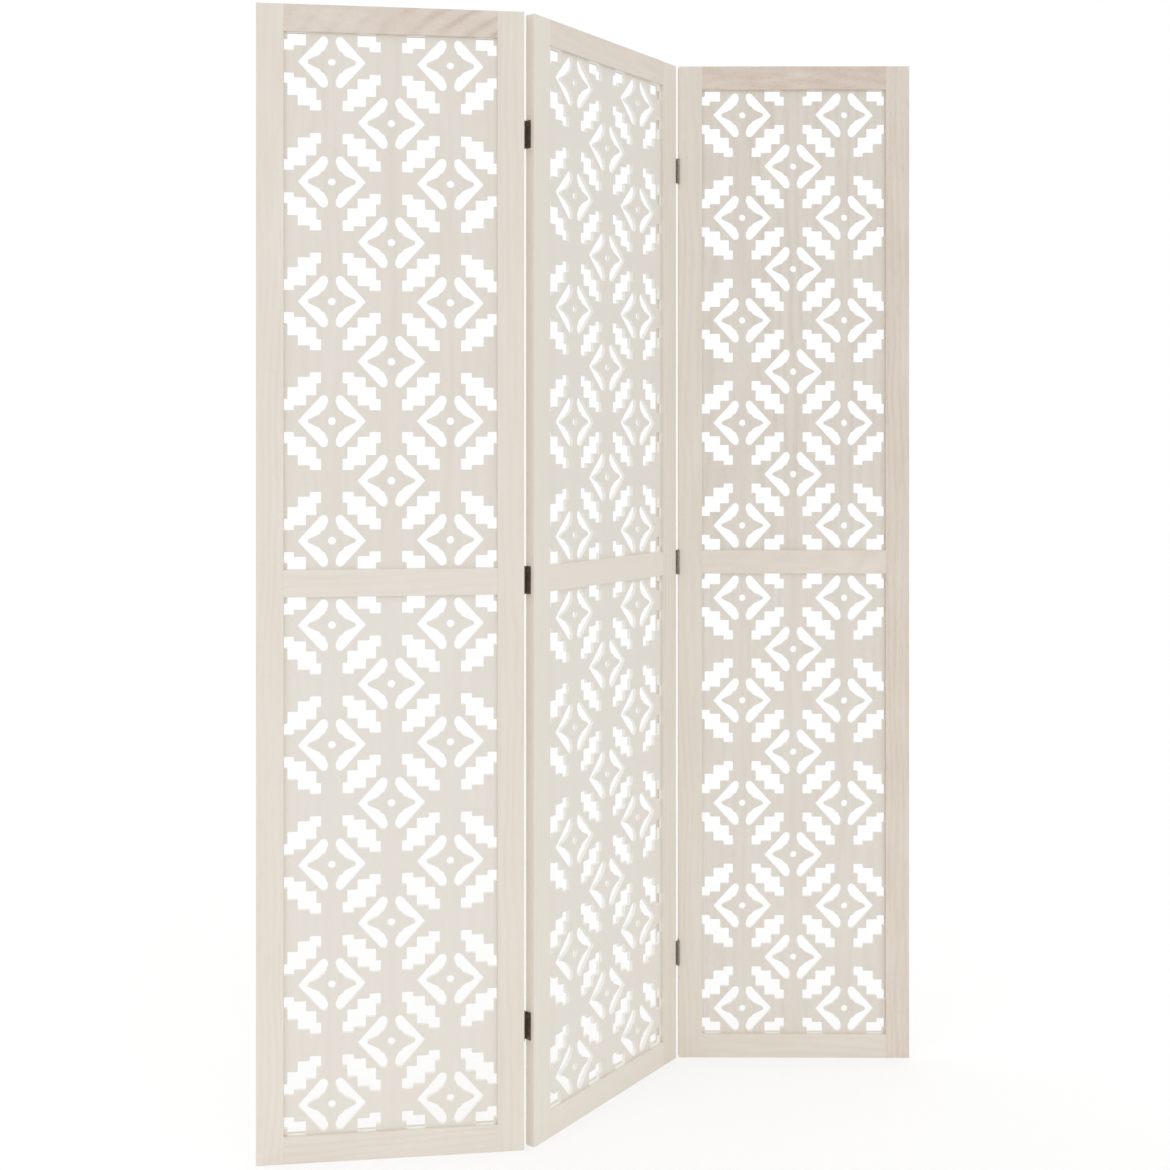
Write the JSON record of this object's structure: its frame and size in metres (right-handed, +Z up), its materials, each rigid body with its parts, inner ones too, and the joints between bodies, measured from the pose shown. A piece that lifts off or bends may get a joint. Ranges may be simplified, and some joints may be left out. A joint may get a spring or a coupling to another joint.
{
  "type": "folding jali screen",
  "caption": "Folding room divider: whitewashed wood frames hold pierced jali panels of stepped cut-outs and chevron diamonds, and butt hinges let the leaves fold flat together.",
  "frame": {"origin": "on the floor, at the middle of the rectangle that the open screen covers in plan", "axes": "+Z up, the front faces -Y, and +X runs to the right as the front is seen"},
  "size_m": [1.0556, 0.3808, 1.7],
  "materials": {
    "frame_wood": "whitewashed solid wood, matt, with a faint tan grain",
    "jali_wood": "whitewashed fretwork board, matt, a little greyer than the frame",
    "hinge_metal": "dark bronze, satin"
  },
  "bodies": {
    "middle_leaf": {"middle_leaf_left_stile": "frame_wood", "middle_leaf_right_stile": "frame_wood", "middle_leaf_top_rail": "frame_wood", "middle_leaf_middle_rail": "frame_wood", "middle_leaf_bottom_rail": "frame_wood", "middle_leaf_upper_jali_panel": "jali_wood", "middle_leaf_lower_jali_panel": "jali_wood", "left_fold_lower_hinge_inner_plate": "hinge_metal", "left_fold_middle_hinge_inner_plate": "hinge_metal", "left_fold_upper_hinge_inner_plate": "hinge_metal", "right_fold_lower_hinge_inner_plate": "hinge_metal", "right_fold_middle_hinge_inner_plate": "hinge_metal", "right_fold_upper_hinge_inner_plate": "hinge_metal"},
    "left_leaf": {"left_leaf_outer_stile": "frame_wood", "left_leaf_hinge_stile": "frame_wood", "left_leaf_top_rail": "frame_wood", "left_leaf_middle_rail": "frame_wood", "left_leaf_bottom_rail": "frame_wood", "left_leaf_upper_jali_panel": "jali_wood", "left_leaf_lower_jali_panel": "jali_wood", "left_fold_lower_hinge_outer_plate": "hinge_metal", "left_fold_lower_hinge_pin": "hinge_metal", "left_fold_middle_hinge_outer_plate": "hinge_metal", "left_fold_middle_hinge_pin": "hinge_metal", "left_fold_upper_hinge_outer_plate": "hinge_metal", "left_fold_upper_hinge_pin": "hinge_metal"},
    "right_leaf": {"right_leaf_hinge_stile": "frame_wood", "right_leaf_outer_stile": "frame_wood", "right_leaf_top_rail": "frame_wood", "right_leaf_middle_rail": "frame_wood", "right_leaf_bottom_rail": "frame_wood", "right_leaf_upper_jali_panel": "jali_wood", "right_leaf_lower_jali_panel": "jali_wood", "right_fold_lower_hinge_outer_plate": "hinge_metal", "right_fold_lower_hinge_pin": "hinge_metal", "right_fold_middle_hinge_outer_plate": "hinge_metal", "right_fold_middle_hinge_pin": "hinge_metal", "right_fold_upper_hinge_outer_plate": "hinge_metal", "right_fold_upper_hinge_pin": "hinge_metal"}
  },
  "joints": [
    {"name": "left_fold", "type": "hinge", "parent": "middle_leaf", "child": "left_leaf", "pos_m": [-0.13433, -0.12555, 0], "axis": [0, 0, 1], "range_deg": [-135.4, 44.6]},
    {"name": "right_fold", "type": "hinge", "parent": "middle_leaf", "child": "right_leaf", "pos_m": [0.13122, 0.17169, 0], "axis": [0, 0, 1], "range_deg": [-128.4, 51.6]}
  ]
}
